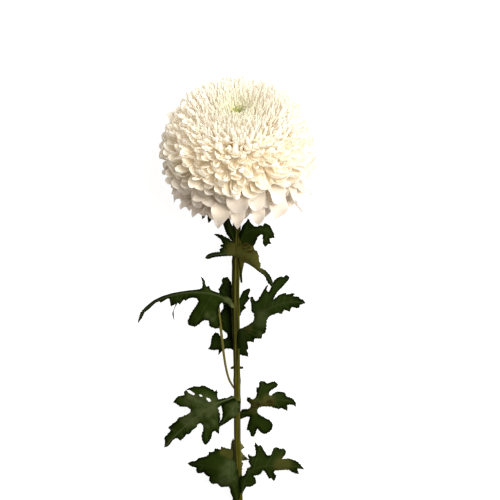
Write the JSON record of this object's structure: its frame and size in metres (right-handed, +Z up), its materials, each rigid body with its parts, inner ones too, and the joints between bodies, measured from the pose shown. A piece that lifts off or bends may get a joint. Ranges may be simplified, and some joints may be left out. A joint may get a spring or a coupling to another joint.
{
  "type": "disbud chrysanthemum",
  "caption": "Cut disbud chrysanthemum lying on its side: a large white ball of layered florets with a green eye on a ribbed leafy stem.",
  "frame": {"origin": "on the surface that the flower lies on, under the middle of its bounding box", "axes": "+Y along the stem towards the bloom, +X to the right of the stem seen from above, +Z up from the surface"},
  "size_m": [0.1376, 0.3704, 0.1049],
  "materials": {
    "petal": "matte",
    "eye": "matte",
    "calyx": "matte",
    "stem": "satin",
    "shoot": "satin",
    "leaf": "matte"
  },
  "bodies": {
    "root": {"bloom_florets": "petal", "eye_florets": "eye", "calyx": "calyx", "stem": "stem", "side_shoot": "shoot", "leaf_crown_left": "leaf", "leaf_crown_inner": "leaf", "leaf_upper_left": "leaf", "leaf_upper_right": "leaf", "leaf_upper_folded": "leaf", "leaf_behind_upper": "leaf", "leaf_mid_left": "leaf", "leaf_mid_right": "leaf", "leaf_mid_small": "leaf", "leaf_low_left": "leaf", "leaf_low_inner": "leaf", "leaf_low_right": "leaf", "leaf_base_left": "leaf", "leaf_base_right": "leaf", "leaf_behind_base": "leaf"}
  },
  "joints": []
}
